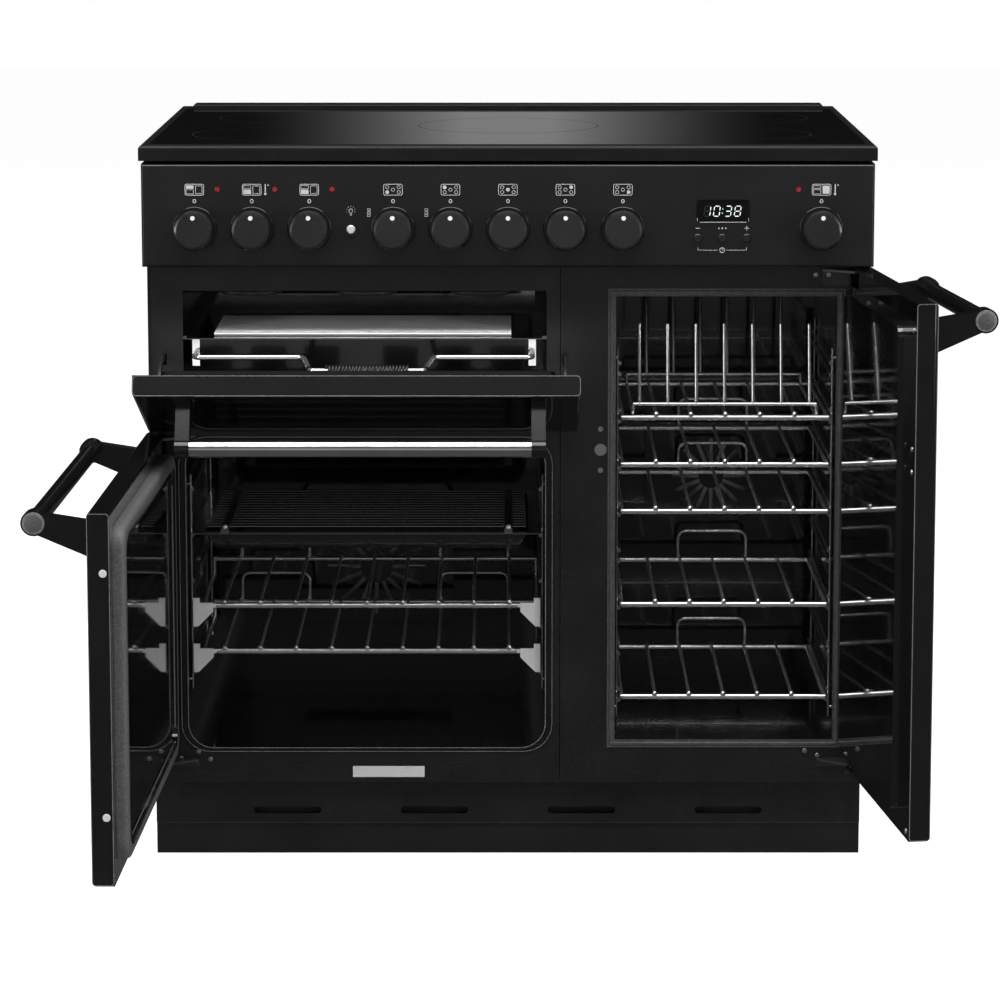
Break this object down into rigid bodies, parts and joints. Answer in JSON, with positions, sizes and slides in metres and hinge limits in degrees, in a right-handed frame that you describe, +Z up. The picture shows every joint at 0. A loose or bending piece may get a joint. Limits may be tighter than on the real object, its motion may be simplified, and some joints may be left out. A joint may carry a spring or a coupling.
{
  "type": "range cooker with double oven",
  "caption": "Freestanding wide range cooker with a flat glass hob, row of control knobs, drop-front grill, main oven and tall oven, doors open.",
  "frame": {"origin": "on the floor, at the middle of the body's footprint", "axes": "+X to the right seen from the front, +Y to the back, +Z up"},
  "size_m": [1.1031, 1.103, 0.91],
  "materials": {
    "black_enamel": "gloss vitreous enamel on pressed steel",
    "speckled_enamel": "satin black enamel with a fine pale speckle",
    "satin_black": "satin black powder coat",
    "hob_glass": "polished black glass ceramic",
    "oven_enamel": "gloss black oven enamel",
    "chrome_wire": "bright plated wire",
    "chrome_rail": "bright plated tube with dark arms",
    "black_knob": "gloss black moulded plastic",
    "button_plastic": "dark moulded plastic",
    "lamp_red": "clear red moulding",
    "module_plastic": "moulded switch body",
    "bright_steel": "zinc plated steel",
    "element_metal": "dull sheathed element",
    "coil_pad": "heating zone pad",
    "seal_rubber": "grey silicone seal",
    "pan_enamel": "gloss black enamel dish",
    "handle_wire": "bright wire with a black coiled grip"
  },
  "bodies": {
    "root": {"side_panels": "satin_black", "back_panel": "bright_steel", "base_tray": "bright_steel", "levelling_feet": "bright_steel", "plinth": "satin_black", "vent_plinth": "speckled_enamel", "front_frame": "speckled_enamel", "control_panel": "satin_black", "electrical_modules": "module_plastic", "lenses": "lamp_red", "hob_frame": "black_enamel", "hob_glass": "hob_glass", "hob_elements": "coil_pad", "grill_cavity": "oven_enamel", "main_oven_cavity": "oven_enamel", "tall_oven_cavity": "oven_enamel", "tall_oven_seal": "seal_rubber", "fan_covers": "oven_enamel", "fan_motors": "bright_steel", "heating_elements": "element_metal", "shelf_side_racks": "chrome_wire", "hinge_brackets": "bright_steel", "frame_fittings": "bright_steel"},
    "main_door": {"main_door_skin": "black_enamel", "main_door_liner": "oven_enamel", "main_door_handle": "black_enamel"},
    "grill_door": {"grill_door_skin": "black_enamel", "grill_door_liner": "oven_enamel", "grill_door_handle": "chrome_rail", "grill_door_stays": "bright_steel"},
    "tall_door": {"tall_door_skin": "black_enamel", "tall_door_liner": "oven_enamel", "tall_door_handle": "black_enamel"},
    "main_shelf_lower": {"main_shelf_lower": "chrome_wire"},
    "main_shelf_upper": {"main_shelf_upper": "chrome_wire"},
    "roasting_tray": {"roasting_tray": "pan_enamel"},
    "plate_rack_shelf": {"plate_rack_shelf": "chrome_wire"},
    "grill_pan": {"grill_pan": "pan_enamel", "grill_pan_handle": "handle_wire"},
    "grill_trivet": {"grill_trivet": "chrome_wire"},
    "main_fan": {"main_fan_impeller": "bright_steel"},
    "tall_fan": {"tall_fan_impeller": "bright_steel"},
    "light_button": {"light_button": "button_plastic"},
    "tall_shelf_1": {"tall_shelf_1": "chrome_wire"},
    "tall_shelf_2": {"tall_shelf_2": "chrome_wire"},
    "tall_shelf_3": {"tall_shelf_3": "chrome_wire"},
    "tall_shelf_4": {"tall_shelf_4": "chrome_wire"},
    "knob_1": {"knob_1": "black_knob"},
    "knob_2": {"knob_2": "black_knob"},
    "knob_3": {"knob_3": "black_knob"},
    "knob_4": {"knob_4": "black_knob"},
    "knob_5": {"knob_5": "black_knob"},
    "knob_6": {"knob_6": "black_knob"},
    "knob_7": {"knob_7": "black_knob"},
    "knob_8": {"knob_8": "black_knob"},
    "knob_9": {"knob_9": "black_knob"},
    "timer_button_1": {"timer_button_1": "button_plastic"},
    "timer_button_2": {"timer_button_2": "button_plastic"},
    "timer_button_3": {"timer_button_3": "button_plastic"}
  },
  "joints": [
    {"name": "main_door_hinge", "type": "hinge", "parent": "root", "child": "main_door", "pos_m": [-0.43, -0.282, 0.3335], "axis": [0, 0, -1], "range_deg": [-91.5, 3.5]},
    {"name": "tall_door_hinge", "type": "hinge", "parent": "root", "child": "tall_door", "pos_m": [0.43, -0.282, 0.4375], "axis": [0, 0, 1], "range_deg": [-97, 3]},
    {"name": "grill_door_hinge", "type": "hinge", "parent": "root", "child": "grill_door", "pos_m": [-0.1795, -0.284, 0.57], "axis": [1, 0, 0], "range_deg": [-68.3, 0]},
    {"name": "grill_pan_slide", "type": "slide", "parent": "root", "child": "grill_pan", "axis": [0, 1, 0], "range_m": [0, 0.23]},
    {"name": "grill_trivet_lift", "type": "slide", "parent": "grill_pan", "child": "grill_trivet", "axis": [0, 0, 1], "range_m": [0, 0.03]},
    {"name": "main_shelf_lower_slide", "type": "slide", "parent": "root", "child": "main_shelf_lower", "axis": [0, -1, 0], "range_m": [0, 0.25]},
    {"name": "main_shelf_upper_slide", "type": "slide", "parent": "root", "child": "main_shelf_upper", "axis": [0, -1, 0], "range_m": [0, 0.25]},
    {"name": "roasting_tray_slide", "type": "slide", "parent": "root", "child": "roasting_tray", "axis": [0, -1, 0], "range_m": [0, 0.25]},
    {"name": "plate_rack_shelf_slide", "type": "slide", "parent": "root", "child": "plate_rack_shelf", "axis": [0, -1, 0], "range_m": [0, 0.24]},
    {"name": "tall_shelf_1_slide", "type": "slide", "parent": "root", "child": "tall_shelf_1", "axis": [0, -1, 0], "range_m": [0, 0.24]},
    {"name": "tall_shelf_2_slide", "type": "slide", "parent": "root", "child": "tall_shelf_2", "axis": [0, -1, 0], "range_m": [0, 0.24]},
    {"name": "tall_shelf_3_slide", "type": "slide", "parent": "root", "child": "tall_shelf_3", "axis": [0, -1, 0], "range_m": [0, 0.24]},
    {"name": "tall_shelf_4_slide", "type": "slide", "parent": "root", "child": "tall_shelf_4", "axis": [0, -1, 0], "range_m": [0, 0.24]},
    {"name": "knob_1_turn", "type": "hinge", "parent": "root", "child": "knob_1", "pos_m": [-0.382, -0.32, 0.8036], "axis": [0, 1, 0], "range_deg": [0, 270]},
    {"name": "knob_2_turn", "type": "hinge", "parent": "root", "child": "knob_2", "pos_m": [-0.312, -0.32, 0.8036], "axis": [0, 1, 0], "range_deg": [0, 270]},
    {"name": "knob_3_turn", "type": "hinge", "parent": "root", "child": "knob_3", "pos_m": [-0.242, -0.32, 0.8036], "axis": [0, 1, 0], "range_deg": [0, 270]},
    {"name": "knob_4_turn", "type": "hinge", "parent": "root", "child": "knob_4", "pos_m": [-0.14, -0.32, 0.8036], "axis": [0, 1, 0], "range_deg": [0, 270]},
    {"name": "knob_5_turn", "type": "hinge", "parent": "root", "child": "knob_5", "pos_m": [-0.07, -0.32, 0.8036], "axis": [0, 1, 0], "range_deg": [0, 270]},
    {"name": "knob_6_turn", "type": "hinge", "parent": "root", "child": "knob_6", "pos_m": [0, -0.32, 0.8036], "axis": [0, 1, 0], "range_deg": [0, 270]},
    {"name": "knob_7_turn", "type": "hinge", "parent": "root", "child": "knob_7", "pos_m": [0.07, -0.32, 0.8036], "axis": [0, 1, 0], "range_deg": [0, 270]},
    {"name": "knob_8_turn", "type": "hinge", "parent": "root", "child": "knob_8", "pos_m": [0.14, -0.32, 0.8036], "axis": [0, 1, 0], "range_deg": [0, 270]},
    {"name": "knob_9_turn", "type": "hinge", "parent": "root", "child": "knob_9", "pos_m": [0.382, -0.32, 0.8036], "axis": [0, 1, 0], "range_deg": [0, 270]},
    {"name": "light_button_press", "type": "slide", "parent": "root", "child": "light_button", "axis": [0, 1, 0], "range_m": [0, 0.003], "stiffness_N_per_m": 300},
    {"name": "timer_button_1_press", "type": "slide", "parent": "root", "child": "timer_button_1", "axis": [0, 1, 0], "range_m": [0, 0.0015], "stiffness_N_per_m": 400},
    {"name": "timer_button_2_press", "type": "slide", "parent": "root", "child": "timer_button_2", "axis": [0, 1, 0], "range_m": [0, 0.0015], "stiffness_N_per_m": 400},
    {"name": "timer_button_3_press", "type": "slide", "parent": "root", "child": "timer_button_3", "axis": [0, 1, 0], "range_m": [0, 0.0015], "stiffness_N_per_m": 400},
    {"name": "main_fan_spin", "type": "hinge", "parent": "root", "child": "main_fan", "pos_m": [-0.177, 0.114, 0.3], "axis": [0, 1, 0], "continuous": true},
    {"name": "tall_fan_spin", "type": "hinge", "parent": "root", "child": "tall_fan", "pos_m": [0.2705, 0.082, 0.43], "axis": [0, 1, 0], "continuous": true}
  ],
  "couplings": [
    {"joint": "grill_pan_slide", "follows": "grill_door_hinge", "m_per_rad": -0.19294}
  ]
}
